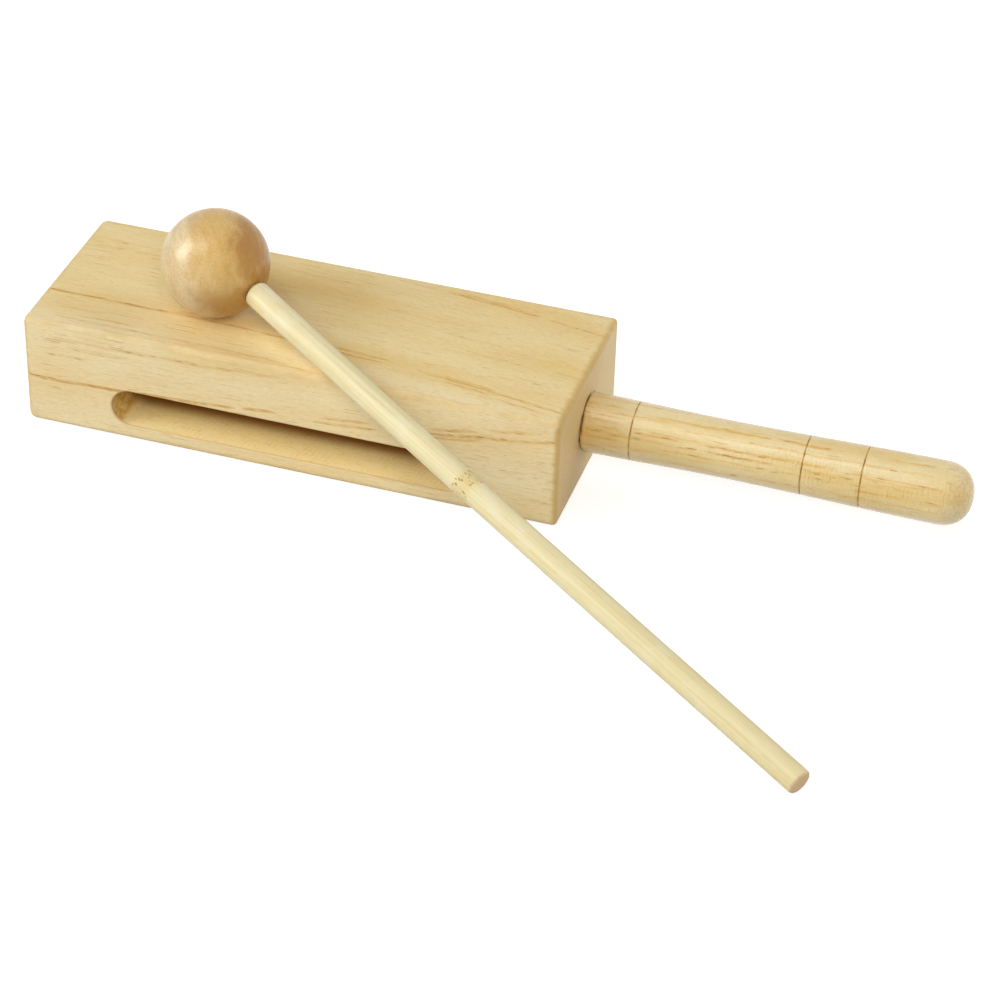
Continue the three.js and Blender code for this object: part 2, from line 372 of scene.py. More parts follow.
def handle_radius(reach):
    """Smooth swelling from the neck down to the waist and up to the butt"""
    if reach < HANDLE_WAIST_REACH:
        slimming = rise(reach, 0, HANDLE_WAIST_REACH)
        return HANDLE_NECK_RADIUS + (HANDLE_WAIST_RADIUS - HANDLE_NECK_RADIUS) * slimming
    swelling = rise(reach, HANDLE_WAIST_REACH, grip_end)
    return HANDLE_WAIST_RADIUS + (butt_radius - HANDLE_WAIST_RADIUS) * swelling


def ring_groove(reach):
    """Depth of the nearest burnt ring at a reach"""
    away = min(abs(reach - ring) for ring in RING_REACHES) / (RING_WIDTH / 2)
    return RING_DEPTH * (1 + math.cos(math.pi * min(away, 1))) / 2


tenon = round_tenon(tenon_length, HANDLE_TENON_RADIUS, HANDLE_TENON_CHAMFER, HANDLE_SEAT)
shoulder = round_corner(HANDLE_SEAT, HANDLE_NECK_RADIUS, HANDLE_SHOULDER_ROUND)
stations = [HANDLE_SEAT + HANDLE_SHOULDER_ROUND + step for step in range(1, int(grip_end) - 1)]
for ring in RING_REACHES:
    stations = [reach for reach in stations if abs(reach - ring) > RING_WIDTH]
    stations += [ring + RING_WIDTH * step / 10 for step in range(-5, 6)]
grip = [(reach, handle_radius(reach) - ring_groove(reach)) for reach in sorted(stations)]
power = 2 / DOME_FULLNESS
dome = [(grip_end + butt_radius * (1 - along) ** power, butt_radius * out ** power)
        for along, out in reversed(quarter_round(DOME_STEPS))]
handle = turned("handle_grip", tenon + shoulder + grip + dome, HANDLE_SIDES)
handle.location = handle_foot
settle(handle)
smooth(handle)
report(handle)

# %% [markdown]
# ## The mallet's own axis
# The mallet leans across the block, so it is easier to build lying along X with the ball at the
# origin, and to turn it into place at the end. The construction model says where it goes: the
# ball's middle is the middle of its box, and the stick's end is where its farthest corners are.

# %% Find the mallet's place in the construction model
ball_low, ball_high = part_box("mallet_head")
ball_centre = (ball_low + ball_high) / 2
ball_radius = (ball_high.z - ball_low.z) / 2 / MM
stick_corners = [corner.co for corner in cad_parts["mallet_stick"].data.vertices]
farthest = max((corner - ball_centre).length for corner in stick_corners)
tip_ring = {tuple(c) for c in stick_corners if (c - ball_centre).length > farthest - MM / 100}
tip_centre = sum((Vector(c) for c in tip_ring), Vector()) / len(tip_ring)
mallet_way = (tip_centre - ball_centre).normalized()
mallet_heading = math.atan2(-mallet_way.y, mallet_way.x)
mallet_slope = math.asin(-mallet_way.z)
mallet_turn = (0, mallet_slope, -mallet_heading)
tip_reach = (tip_centre - ball_centre).length / MM
print(f"The stick ends {tip_reach:.1f} mm from the ball's middle,",
      f"headed {math.degrees(mallet_heading):.2f} degrees and sloping {math.degrees(mallet_slope):.2f}")


def lean(piece):
    """Turn a piece of the mallet from the X axis into its place across the block"""
    piece.rotation_euler = mallet_turn
    piece.location = ball_centre
    settle(piece)


# %% [markdown]
# ## The ball
# A hardwood ball comes off a lathe too, but as a plain sphere it is simplest to start from one,
# with its poles on the lathe's axis. The hole for the stick is drilled a little off that axis, as
# it is on the real mallet, and its rim is broken so that it doesn't shine like a knife edge.

# %% Shape and drill the ball
STICK_BOW = 1.7
STICK_TENON_RADIUS = 2.6
STICK_TENON_LENGTH = 12
GLUE_ROOM = 1
SEAT_GAP = 0.3
BALL_RIM_EASE = 0.15
RIM_SEGMENTS = 2

bore_radius = STICK_TENON_RADIUS + SEAT_GAP
nearest_rim = bore_radius - STICK_BOW
shoulder_reach = math.sqrt(ball_radius ** 2 - nearest_rim ** 2) + SEAT_GAP
bore_floor = shoulder_reach - STICK_TENON_LENGTH - GLUE_ROOM
bpy.ops.object.select_all(action="DESELECT")
bpy.ops.mesh.primitive_uv_sphere_add(
    segments=128, ring_count=64, radius=ball_radius * MM, rotation=ALONG_BLOCK)
ball = named("mallet_ball")
settle(ball)
bore_end = ball_radius + CUT_OVERRUN
bore_reach = (bore_end - bore_floor) * MM
bore_place = Vector(((bore_floor + bore_end) / 2, STICK_BOW, 0)) * MM
carve(ball, cutter("ball_drill", bore_radius * MM, bore_reach, bore_place, ALONG_BLOCK))


def on_rim(ends):
    """Whether an edge lies on the ball's skin, along the rim of the bore"""
    for end in ends:
        off_bore = math.hypot(end.y / MM - STICK_BOW, end.z / MM) - bore_radius
        off_skin = end.length / MM - ball_radius
        if abs(off_bore) > 0.02 or end.x < 0 or abs(off_skin) > 0.1:
            return False
    return True


round_edges(ball, on_rim, BALL_RIM_EASE, RIM_SEGMENTS)
lean(ball)
smooth(ball)
report(ball)

# %% [markdown]
# ## The bamboo stick
# A thin bamboo rod is never quite straight. Its outline is turned with a rounded shoulder, a
# rounded tip and the low swelling of the joint where a leaf once grew. The bow comes afterwards:
# a vertex group holds how far along the bend each ring of corners is, and a Displace modifier
# without a texture pushes each corner sideways by that weight.

# %% Turn the stick and bend it
STICK_HEAD_RADIUS = 4.25
STICK_RADIUS = 4.12
STICK_TAPER_LENGTH = 50
STICK_BOW_LENGTH = 182
STICK_SHOULDER_ROUND = 1.1
STICK_TIP_ROUND = 1.2
STICK_TENON_CHAMFER = 0.6
BAMBOO_NODE_REACH = 103
BAMBOO_NODE_WIDTH = 5
BAMBOO_NODE_RISE = 0.09
SHAFT_STEPS = 160
STICK_SIDES = 64

stick_length = tip_reach - shoulder_reach


def stick_radius(reach):
    """Radius at a distance from the stick's shoulder"""
    taper = rise(reach, 0, STICK_TAPER_LENGTH)
    swell = 1 - rise(abs(reach - BAMBOO_NODE_REACH), 0, BAMBOO_NODE_WIDTH / 2)
    return STICK_HEAD_RADIUS + (STICK_RADIUS - STICK_HEAD_RADIUS) * taper + BAMBOO_NODE_RISE * swell


tenon = round_tenon(STICK_TENON_LENGTH, STICK_TENON_RADIUS, STICK_TENON_CHAMFER)
shoulder = round_corner(0, STICK_HEAD_RADIUS, STICK_SHOULDER_ROUND)
shaft_run = stick_length - STICK_TIP_ROUND - STICK_SHOULDER_ROUND
stations = [STICK_SHOULDER_ROUND + shaft_run * step / SHAFT_STEPS for step in range(1, SHAFT_STEPS)]
shaft = [(reach, stick_radius(reach)) for reach in stations]
tip = round_corner(stick_length, STICK_RADIUS, STICK_TIP_ROUND, -1) + [(stick_length, 0)]
stick = turned("mallet_rod", tenon + shoulder + shaft + tip, STICK_SIDES)

bend = stick.vertex_groups.new(name="bend")
for corner in stick.data.vertices:
    share = min(max(1 - corner.co.x / MM / STICK_BOW_LENGTH, 0), 1)
    bend.add([corner.index], share ** 2, "REPLACE")
use(stick, "DISPLACE", direction="Y", strength=STICK_BOW * MM, mid_level=0, vertex_group="bend")
stick.location = (shoulder_reach * MM, 0, 0)
settle(stick)
lean(stick)
smooth(stick)
report(stick)

# %% [markdown]
# ## Writing with nodes
# A material is a small machine: coordinates go in, and colours, roughness and bump come out. A few
# short helpers keep it readable: each adds a node, sets its values or links its inputs, and hands
# back the socket that the next node needs. A socket knows which tree it is in, so a new node goes
# into the tree of the first socket that it is given.

# %% Helpers for nodes


def connect(inputs, given):
    """Set each named input to a value, or link it to another node's socket"""
    for name, value in given.items():
        if isinstance(value, bpy.types.NodeSocket):
            value.id_data.links.new(value, inputs[name])
        else:
            inputs[name].default_value = value


def add(kind, given, tree=None, **settings):
    """Add one node with its inputs and settings, to a tree or to that of its first linked input"""
    trees = [value.id_data for value in given.values() if isinstance(value, bpy.types.NodeSocket)]
    made = (tree or trees[0]).nodes.new("ShaderNode" + kind)
    for name, value in settings.items():
        setattr(made, name, value)
    connect(made.inputs, given)
    return made


def place(group, **given):
    """Place a node group, with its inputs by name, and return its outputs"""
    return add("Group", given, node_tree=group).outputs


def maths(operation, *values):
    """One step of arithmetic"""
    return add("Math", dict(enumerate(values)), operation=operation).outputs[0]


def vector(operation, *values):
    """One step of arithmetic with vectors, which gives a number for a length or a dot product"""
    result = add("VectorMath", dict(enumerate(values)), operation=operation).outputs
    return result["Value" if operation in ("LENGTH", "DOT_PRODUCT") else "Vector"]


def product(*values):
    """All the values multiplied together"""
    result = values[0]
    for value in values[1:]:
        result = maths("MULTIPLY", result, value)
    return result


def total(*parts):
    """Sum of (amount, value) parts, where a lone number starts the sum"""
    result = 0.0
    for part in parts:
        if isinstance(part, tuple):
            result = maths("MULTIPLY_ADD", part[0], part[1], result)
        else:
            result = part
    return result


def ease(value, start, end, low=0.0, high=1.0):
    """Smooth change from low to high while a value goes from start to end"""
    marks = {"Value": value, "From Min": start, "From Max": end, "To Min": low, "To Max": high}
    return add("MapRange", marks, interpolation_type="SMOOTHSTEP").outputs[0]


def tint(under, over, *amounts):
    """Lay one colour over another, as strongly as the product of the amounts"""
    share = product(*amounts)
    return add("Mix", {0: share, 6: under, 7: over}, data_type="RGBA").outputs[2]


def layered(under, *coats):
    """Lay coats of colour over one another, each given as (web colour, amounts...)"""
    for code, *amounts in coats:
        under = tint(under, colour(code), *amounts)
    return under


def distance(*sides):
    """Length of a way that is given by its part along each axis"""
    return vector("LENGTH", add("CombineXYZ", dict(enumerate(sides))).outputs[0])


def noise(spot, lengths, detail=2.0, roughness=0.5, distortion=0.0):
    """Noise whose grains have a length, in millimetres, along each axis"""
    cells = tuple(1 / length for length in lengths)
    look = {"Vector": vector("MULTIPLY", spot, cells), "Scale": 1.0, "Detail": detail,
            "Roughness": roughness, "Distortion": distortion}
    return add("TexNoise", look).outputs[0]


def colour(code):
    """Linear colour for a web colour code"""
    parts = [int(code[i:i + 2], 16) / 255 for i in (0, 2, 4)]
    linear = [part / 12.92 if part < 0.04045 else ((part + 0.055) / 1.055) ** 2.4 for part in parts]
    return (*linear, 1.0)


def new_group(name, inputs, outputs):
    """A shader node group with named sockets: its tree, what comes in and where results go"""
    group = bpy.data.node_groups.new(name, "ShaderNodeTree")
    for label, value in inputs.items():
        kind = "NodeSocketFloat" if isinstance(value, float) else "NodeSocketVector"
        group.interface.new_socket(label, in_out="INPUT", socket_type=kind).default_value = value
    for label in outputs:
        group.interface.new_socket(label, in_out="OUTPUT", socket_type="NodeSocketFloat")
    return group, group.nodes.new("NodeGroupInput").outputs, group.nodes.new("NodeGroupOutput").inputs


def places(tree, origin, turn=(0, 0, 0)):
    """Places in millimetres from a piece's own origin, along its own turned axes"""
    spot = add("TexCoord", {}, tree).outputs["Object"]
    axes = {"Vector": spot, "Location": origin, "Rotation": turn, "Scale": (MM, MM, MM)}
    return add("Mapping", axes, vector_type="TEXTURE").outputs[0]


def new_material(name, origin, turn=(0, 0, 0)):
    """A material, its tree and shader, and the places that its patterns are worked out from"""
    material = bpy.data.materials.new(name)
    material.use_nodes = True
    tree = material.node_tree
    return material, tree, tree.nodes["Principled BSDF"], places(tree, origin, turn)


def bump(height, depth):
    """Tilted normals from a height map, where a height of 1 stands for a depth in millimetres"""
    return add("Bump", {"Height": height, "Distance": depth * MM, "Strength": 1.0}).outputs[0]


# %% [markdown]
# ## Fibre and pores
# Wood is a bundle of tubes. Seen from the side they are fine streaks that run with the grain, and
# the widest tubes are cut open as short brown dashes. Both are solid patterns, worked out from the
# place in space and not from the surface, so a streak that runs over an edge meets itself on the
# next face, and on the end grain the same dashes are seen end on, as dots. The first axis of the
# place that goes in is the way that the fibres run.

# %% Node groups for fibre and pores
fibre_group, come, go = new_group(
    "wood_fibre", {"Place": (0, 0, 0)}, ["Cloud", "Streak", "Hair", "Fuzz"])
fibre_looks = {"Cloud": ((38, 8, 8), 3, 0.5), "Streak": ((26, 1.3, 1.3), 3, 0.55),
               "Hair": ((9, 0.3, 0.3), 3, 0.6), "Fuzz": ((1.8, 0.3, 0.3), 2, 0.6)}
for label, (lengths, detail, roughness) in fibre_looks.items():
    connect(go, {label: noise(come["Place"], lengths, detail, roughness)})

pore_group, come, go = new_group(
    "wood_pores", {"Place": (0, 0, 0), "Length": 5.0, "Width": 0.6, "Cover": 0.3}, ["Mask"])
along = maths("DIVIDE", 1.0, come["Length"])
across = maths("DIVIDE", 1.0, come["Width"])
cells = add("CombineXYZ", {0: along, 1: across, 2: across}).outputs[0]
squeezed = vector("MULTIPLY", come["Place"], cells)
pore = add("TexVoronoi", {"Vector": squeezed, "Scale": 1.0}).outputs
lot = add("SeparateColor", {0: pore["Color"]}).outputs
fade = ease(maths("SUBTRACT", come["Cover"], lot[0]), 0.0, 0.12)
size = maths("MULTIPLY_ADD", lot[1], 0.2, 0.25)
dash = ease(maths("SUBTRACT", size, pore["Distance"]), 0.0, 0.14)
connect(go, {"Mask": product(dash, fade)})

# %% [markdown]
# ## Growth lines
# Each year the tree lays down a ring, and where a ring starts, the pores crowd into a brown line.
# In sawn wood the rings are nearly flat sheets, so a line is all places where the coordinate
# across them has one value. A real line comes and goes, so each one also has a start and an end
# along the grain. The belt that comes out is not a line yet: it says how crowded the pores are.

# %% Node group for a stretch of growth line
line_group, come, go = new_group(
    "growth_line",
    {"Along": 0.0, "Across": 0.0, "Centre": 0.0, "Width": 1.0, "Start": 0.0, "End": 1.0, "Fade": 5.0},
    ["Belt"])
away = maths("ABSOLUTE", maths("SUBTRACT", come["Across"], come["Centre"]))
near = ease(away, come["Width"], 0.0)
begun = ease(come["Along"], come["Start"], maths("ADD", come["Start"], come["Fade"]))
going = ease(come["Along"], come["End"], maths("SUBTRACT", come["End"], come["Fade"]))
connect(go, {"Belt": product(begun, going, near)})


def belts(along, across, lines, width, fade=5.0):
    """Sum of stretches of growth line, each given as (centre, strength, start, end)"""
    crowd = 0.0
    for centre, strength, start, end in lines:
        line = place(line_group, Along=along, Across=across, Centre=centre, Width=width,
                     Start=start, End=end, Fade=fade)
        crowd = maths("MULTIPLY_ADD", line["Belt"], strength, crowd)
    return crowd


def wandering(here, along, rings, around, lengths, amount):
    """Coordinate across rings that sway a little, and places that follow the fibres"""
    sway = maths("SUBTRACT", noise(here, lengths, 3, 0.6), 0.5)
    swayed = maths("MULTIPLY_ADD", sway, amount, rings)
    return swayed, add("CombineXYZ", {0: along, 1: swayed, 2: around}).outputs[0]


def opened(grain, crowd, split, width, cover):
    """Brown strands where pores crowd, split by (lengths, start, end), and the open pores"""
    lengths, start, end = split
    strands = product(crowd, ease(noise(grain, lengths, 3, 0.6), start, end))
    crowded = maths("MULTIPLY_ADD", crowd, 0.8, cover)
    return strands, place(pore_group, Place=grain, Length=4.5, Width=width, Cover=crowded)["Mask"]


# %% [markdown]
# ## Handling
# Every piece has been handled: the lacquer is dulled here and there, it holds hair-fine scratches,
# and a few dark specks of dirt sit in it. One group gives all three to all the materials.

# %% Node group for handling marks
touch_group, come, go = new_group(
    "handling_marks", {"Place": (0, 0, 0), "Patch": 12.0}, ["Smudge", "Scratch", "Speck"])
patch_size = maths("DIVIDE", 1.0, come["Patch"])
smudge_look = {"Vector": come["Place"], "Scale": patch_size, "Detail": 3.0}
smudges = add("TexNoise", smudge_look).outputs[0]
connect(go, {"Smudge": ease(smudges, 0.4, 0.7)})
hairs = noise(come["Place"], (9, 0.12, 2.5), 1, 0.5, 1.5)
connect(go, {"Scratch": ease(hairs, 0.7, 0.78)})
specks = add("TexVoronoi", {"Vector": come["Place"], "Scale": 0.11}).outputs["Distance"]
connect(go, {"Speck": ease(specks, 0.042, 0.02)})

# %% [markdown]
# ## Edge wear and painted edge shade
# Sanded and handled edges take more lacquer and darken to a golden tone. The same mask also paints
# every eased edge darker all along, which is painted shade on the light that the rounded edges
# catch. The block is a plain box, so the distance from its edges can be worked out instead of being
# looked up in the mesh: a point near an edge has its two smallest distances from the sides of the
# box both small.

# %% Node group for worn and shaded box edges
edge_group, come, go = new_group(
    "edge_wear_and_shade", {"Place": (0, 0, 0), "Half": (90, 32, 20), "Reach": 3.0}, ["Mask"])
depths = vector("SUBTRACT", come["Half"], vector("ABSOLUTE", come["Place"]))
depth = add("SeparateXYZ", {0: depths}).outputs
smaller = maths("MINIMUM", depth[0], depth[1])
larger = maths("MAXIMUM", depth[0], depth[1])
second = maths("MAXIMUM", smaller, maths("MINIMUM", larger, depth[2]))
ragged = maths("SUBTRACT", noise(come["Place"], (6, 2, 2), 2), 0.5)
torn = maths("MULTIPLY_ADD", ragged, come["Reach"], second)
connect(go, {"Mask": ease(maths("DIVIDE", torn, come["Reach"]), 1.0, 0.0)})

# %% [markdown]
# ## Wood of the block
# The block is pale, straw-coloured wood under a thin satin lacquer. Its rings run down through it
# at a slant, and they sink towards the handle end, so one brown line crosses the top and the same
# line crosses the front lower down. The coordinate across the rings is the height over those
# slanted sheets, less a sinking that grows along the block, and the fibres follow the sheets.
# Each row below puts a line where the real block has one: its middle across the rings, its
# strength, and where along the block it starts and ends.

# %% Find the block's growth rings
RING_TILT = math.radians(49.2)
RING_SINK = 9.4
RING_SINK_START = -75
RING_SINK_END = 88
RING_WANDER = 1.3
SINK_POWER = 0.09
SINK_POWER_RISE = 0.064
BROWN_WIDTH = 0.7
STAIN_AND_SHADE_WIDTH = 7.0
STAIN_AND_SHADE_FADE = 22.0

BROWN_LINES = [
    (36.2, 1.4, -99, -46), (36.2, 1.1, -52, -16), (36.4, 1.4, -16, -2),
    (35.4, 0.8, 8, 32), (37.0, 0.8, 10, 30), (36.3, 0.9, 40, 99),
    (35.4, 0.8, 46, 67), (37.6, 0.8, 47, 66), (38.4, 0.5, 66, 84),
    (1.2, 0.35, 12, 32), (1.2, 1.0, 31, 68), (0.2, 0.6, 36, 62), (1.2, 0.8, 68, 99),
    (46.8, 0.45, -82, 0), (44.9, 0.5, -76, -52), (42.6, 0.4, -84, -66), (7.4, 0.3, -22, 8),
    (10.5, 0.35, -84, -58), (13.2, 0.3, -88, -60), (14.4, 0.3, 15, 42), (22.0, 0.3, -3, 8),
    (18.3, 0.3, 37, 53), (10.4, 0.3, 72, 88), (27.8, 0.35, 68, 82), (21.1, 0.4, 78, 92),
    (23.0, 0.3, 48, 72),
]
# Golden stains, as (centre, strength, start, end). The rows centred at 14 and 19 lie on the top beside
# the ball, and there they are also painted shade that the ball casts
STAINS_AND_BALL_SHADE = [
    (49.0, 0.8, -50, 85), (0.0, 0.6, 20, 99), (18.0, 0.6, 58, 99), (36.2, 0.4, -99, 99),
    (42.0, 0.3, -99, -60), (14.0, 0.8, -60, 30), (19.0, 0.4, -40, 40), (9.0, 0.4, -60, 20),
]


def sunk_rings(spot):
    """Coordinates across and around the block's tilted growth rings, which sink along the block"""
    sine = math.sin(RING_TILT)
    cosine = math.cos(RING_TILT)
    height = total((spot[1], -sine), (spot[2], cosine))
    around = total((spot[1], cosine), (spot[2], sine))
    limits = {"Value": spot[0], "From Min": RING_SINK_START, "From Max": RING_SINK_END}
    run = add("MapRange", limits).outputs[0]
    power = maths("MULTIPLY_ADD", spot[2], SINK_POWER_RISE, SINK_POWER)
    sink = product(maths("POWER", run, power), RING_SINK)
    return maths("SUBTRACT", height, sink), around


# %% Lay out the block's grain
block_wood, tree, shader, here = new_material("block_wood", (0, 0, 0))
spot = add("SeparateXYZ", {0: here}).outputs
from_middle = maths("ABSOLUTE", spot[0])
rings, around = sunk_rings(spot)
swayed, grain = wandering(here, spot[0], rings, around, (13, 8, 8), RING_WANDER)
fibre = place(fibre_group, Place=grain)
crowd = belts(spot[0], swayed, BROWN_LINES, BROWN_WIDTH)
stain_and_shade = belts(spot[0], rings, STAINS_AND_BALL_SHADE, STAIN_AND_SHADE_WIDTH, STAIN_AND_SHADE_FADE)
strands, pores = opened(grain, crowd, ((8, 0.32, 0.32), 0.44, 0.54), 0.48, 0.035)
tick_cover = ease(noise(grain, (30, 3, 3), 2), 0.4, 0.65, 0.08, 0.42)
ticks = place(pore_group, Place=grain, Length=20.0, Width=0.4, Cover=tick_cover)["Mask"]

# %% Colour the block's straw-coloured wood
FRONT = block_low.y / MM
LIT_FRONT_DEPTH = 14

wood = layered(
    colour("ebd6a0"),
    ("e4c682", ease(fibre["Cloud"], 0.35, 0.68), 0.5),
    # Painted light: the wood is paler near the front face, standing in for the extra light that falls on
    # it
    ("f3e4bf", ease(spot[1], FRONT + LIT_FRONT_DEPTH, FRONT), 0.45),
    # Golden stain, and beside the ball also painted shade of the ball
    ("e4bd6c", stain_and_shade, 0.55),
    ("d2ab62", ease(fibre["Streak"], 0.48, 0.8), 0.17),
    ("c6983f", ease(fibre["Hair"], 0.5, 0.8), 0.5),
    ("c49a44", ease(fibre["Fuzz"], 0.45, 0.75), 0.25),
    ("dfb055", crowd, 0.4),
    ("b98634", ticks, ease(spot[0], 0, -60, 0.4, 0.75)),
    ("c08834", strands, 0.6),
    ("a06a22", pores, 0.6),
)

# %% [markdown]
# ## Inside the slot
# The cutter leaves torn fibres and faint ripples and blotchy golden end walls. The slot is also
# painted darker with depth, which is painted shade, and its eased mouth is painted darker, which is
# painted shade on the light that its rounded lip catches. All of the slot lies within the cutter's
# radius of its straight path, so the mask is a distance from a line, and the front face beside the
# slot stays clean.

# %% Colour the slot as the cutter left it, with its painted shade
CUTTER_RADIUS = SLOT_HEIGHT / 2
CUTTER_RUN = slot_half_run / MM
SHADE_START_DEPTH = 11
SHADE_END_DEPTH = 18

past_run = maths("MAXIMUM", maths("SUBTRACT", from_middle, CUTTER_RUN), 0.0)
off_middle = maths("SUBTRACT", spot[2], slot_centre.z / MM)
from_path = distance(past_run, 0.0, off_middle)
past_mouth = ease(spot[1], FRONT + 0.2, FRONT + 0.9)
before_end = maths("LESS_THAN", spot[1], blind_end / MM + 0.5)
near_path = maths("LESS_THAN", from_path, CUTTER_RADIUS + 0.4)
slot_walls = product(past_mouth, before_end, near_path)

sway = noise(here, (4, 3, 3), 3)
cutter_turn = total((spot[0], 3.4), (spot[1], -0.8), (spot[2], 1.8), (sway, 6.0))
cutter_bite = ease(noise(here, (7, 5, 5), 2), 0.45, 0.6)
cutter_marks = product(maths("SINE", cutter_turn), slot_walls, cutter_bite)
torn_fibre = ease(noise(grain, (3, 0.4, 0.4), 3, 0.6), 0.5, 0.75)
at_end_wall = ease(from_middle, CUTTER_RUN + 2.5, CUTTER_RUN + 4.5)
end_mottle = ease(noise(here, (2, 2, 2), 3, 0.6), 0.35, 0.65, 0.35, 0.9)
slot_depth_shade = ease(spot[1], FRONT + SHADE_START_DEPTH, FRONT + SHADE_END_DEPTH)
mouth_shade = ease(from_path, CUTTER_RADIUS + 0.9, CUTTER_RADIUS + 0.1)
wood = layered(
    wood,
    ("ffe8a6", slot_walls, 0.75),
    ("cf9e44", slot_walls, torn_fibre, 0.4),
    ("d0a858", cutter_marks, 0.16),
    ("cf9c30", slot_walls, at_end_wall, end_mottle),
    # Painted shade: the slot darkens with depth
    ("9c6010", slot_walls, slot_depth_shade, 0.95),
    # Painted shade: the eased mouth is darker, which damps the lit line along it
    ("cfae74", mouth_shade, ease(spot[1], FRONT + 1.3, FRONT + 0.6), 0.45),
)

# %% [markdown]
# ## End grain, edges and glue
# On the sawn ends the tubes show as grit and the year rings as soft slanted stripes, and the end
# grain is painted paler towards the back and the bottom, which is painted reflection. The edges are
# worn golden, most of all at the ends, and are also painted darker all along, which is painted
# shade. Dark glue has been squeezed out round the handle's neck.

# %% Colour the block's end grain, edges and glue
HALF_LENGTH = block_size.x / MM / 2
EDGE_REACH = 2.6

end_faces = ease(from_middle, HALF_LENGTH - 1.4, HALF_LENGTH - 0.2)
grit = noise(here, (0.5, 0.45, 0.45), 3, 0.6)
year_turn = total((swayed, 2.1), (noise(here, (9, 9, 9), 2), 4.0))
years = ease(maths("SINE", year_turn), 0.0, 1.0)
end_wood = layered(
    colour("e3c892"),
    ("c9a466", ease(grit, 0.35, 0.75)),
    ("c39a5b", crowd, 0.35),
    ("b98f52", years, 0.16),
    # Painted reflection: the end grain is paler where the rings are low, towards the back and the bottom
    ("f8dfac", ease(rings, 16.0, -4.0), 0.8),
)
wood = tint(wood, end_wood, end_faces, 0.85)

centred = vector("SUBTRACT", here, tuple(block_middle / MM))
half_size = tuple(block_size / MM / 2)
edges = place(edge_group, Place=centred, Half=half_size, Reach=EDGE_REACH)["Mask"]
edge_patches = ease(noise(here, (12, 4, 4), 3, 0.6), 0.45, 0.6, 0.0, 0.3)
at_ends = ease(from_middle, HALF_LENGTH - 4, HALF_LENGTH - 1.5, 0.0, 0.45)

from_axis = distance(0.0, spot[1], maths("SUBTRACT", spot[2], block_middle.z / MM))
round_neck = ease(from_axis, HANDLE_NECK_RADIUS + 0.6, HANDLE_NECK_RADIUS - 0.1)
on_end_face = ease(spot[0], HALF_LENGTH - 2, HALF_LENGTH - 0.5)
glue_patches = ease(noise(here, (4, 3, 3), 2), 0.45, 0.6)
marks = place(touch_group, Place=here, Patch=18.0)
wood = layered(
    wood,
    # Painted shade: every eased edge is darker all along
    ("cdb27e", edges, 0.6),
    ("d0b15a", edges, edge_patches),
    ("d6a84e", edges, at_ends),
    ("8a5c25", round_neck, on_end_face, glue_patches, 0.8),
    ("8f6530", marks["Speck"], 0.35),
)

# %% Give the block its satin lacquer and open pores
gloss = total(0.44, (marks["Smudge"], 0.08), (marks["Scratch"], 0.1), (pores, 0.15),
              (slot_walls, 0.25), (edges, 0.05), (end_faces, 0.1))
relief = total(0.5, (pores, -0.3), (ticks, -0.15), (strands, -0.15), (fibre["Hair"], 0.25),
               (cutter_marks, 0.03), (torn_fibre, product(slot_walls, 0.3)))
connect(shader.inputs, {
    "Base Color": wood, "Roughness": gloss, "Normal": bump(relief, 0.03),
    "Specular IOR Level": 0.35})
print("Block wood has", len(tree.nodes), "nodes")

# %% [markdown]
# ## Wood of the handle
# The handle is turned from a warmer stick of the same wood and dipped in gloss lacquer. Its rings
# stand on edge, so they show as long golden streaks, with short ticks near the neck and reddish end
# grain on the dome. Where the chisel chattered, tiny waves break up the highlight. The rows of
# lines are as on the block, counted from the handle's shoulder.

# %% Lay out the handle's grain
HANDLE_GRAIN_TURN = math.radians(37.1)
HANDLE_GRAIN_DRIFT = 0.013
HANDLE_WANDER = 0.9
HANDLE_LINES = [
    (6.2, 0.4, 5, 60), (6.2, 0.9, 86, 118), (3.2, 0.5, 8, 40), (3.0, 1.0, 40, 64), (3.2, 0.9, 72, 90),
    (3.6, 0.6, 92, 112), (1.4, 1.0, 4, 14), (1.2, 0.7, 14, 60), (1.1, 1.0, 56, 84), (1.3, 0.7, 84, 118),
    (-3.9, 0.5, 8, 30), (-4.8, 0.8, 22, 62), (-4.9, 1.0, 60, 82), (-5.2, 0.7, 96, 116),
    (8.4, 0.4, 20, 118), (-8.2, 0.4, 0, 118), (7.4, 0.7, -2, 12), (4.6, 0.9, -2, 15), (2.6, 0.7, -2, 16),
    (-0.6, 0.9, -2, 15), (-2.4, 0.8, 2, 16), (-5.9, 0.7, -2, 14), (0.4, 0.5, 20, 50), (5.0, 0.5, 24, 84),
    (-2.2, 0.5, 30, 116), (2.2, 0.5, 88, 118),
]

handle_wood, tree, shader, here = new_material("handle_wood", handle_foot)
spot = add("SeparateXYZ", {0: here}).outputs
sine = math.sin(HANDLE_GRAIN_TURN)
cosine = math.cos(HANDLE_GRAIN_TURN)
rings = total((spot[1], -sine), (spot[2], -cosine), (spot[0], HANDLE_GRAIN_DRIFT))
around = total((spot[1], cosine), (spot[2], -sine))
swayed, grain = wandering(here, spot[0], rings, around, (14, 6, 6), HANDLE_WANDER)
fibre = place(fibre_group, Place=grain)
crowd = belts(spot[0], swayed, HANDLE_LINES, BROWN_WIDTH)
strands, pores = opened(grain, crowd, ((7, 0.45, 0.45), 0.45, 0.55), 0.5, 0.03)
tick_cover = ease(spot[0], 25, 5, 0.12, 0.4)
ticks = place(pore_group, Place=grain, Length=9.0, Width=0.6, Cover=tick_cover)["Mask"]

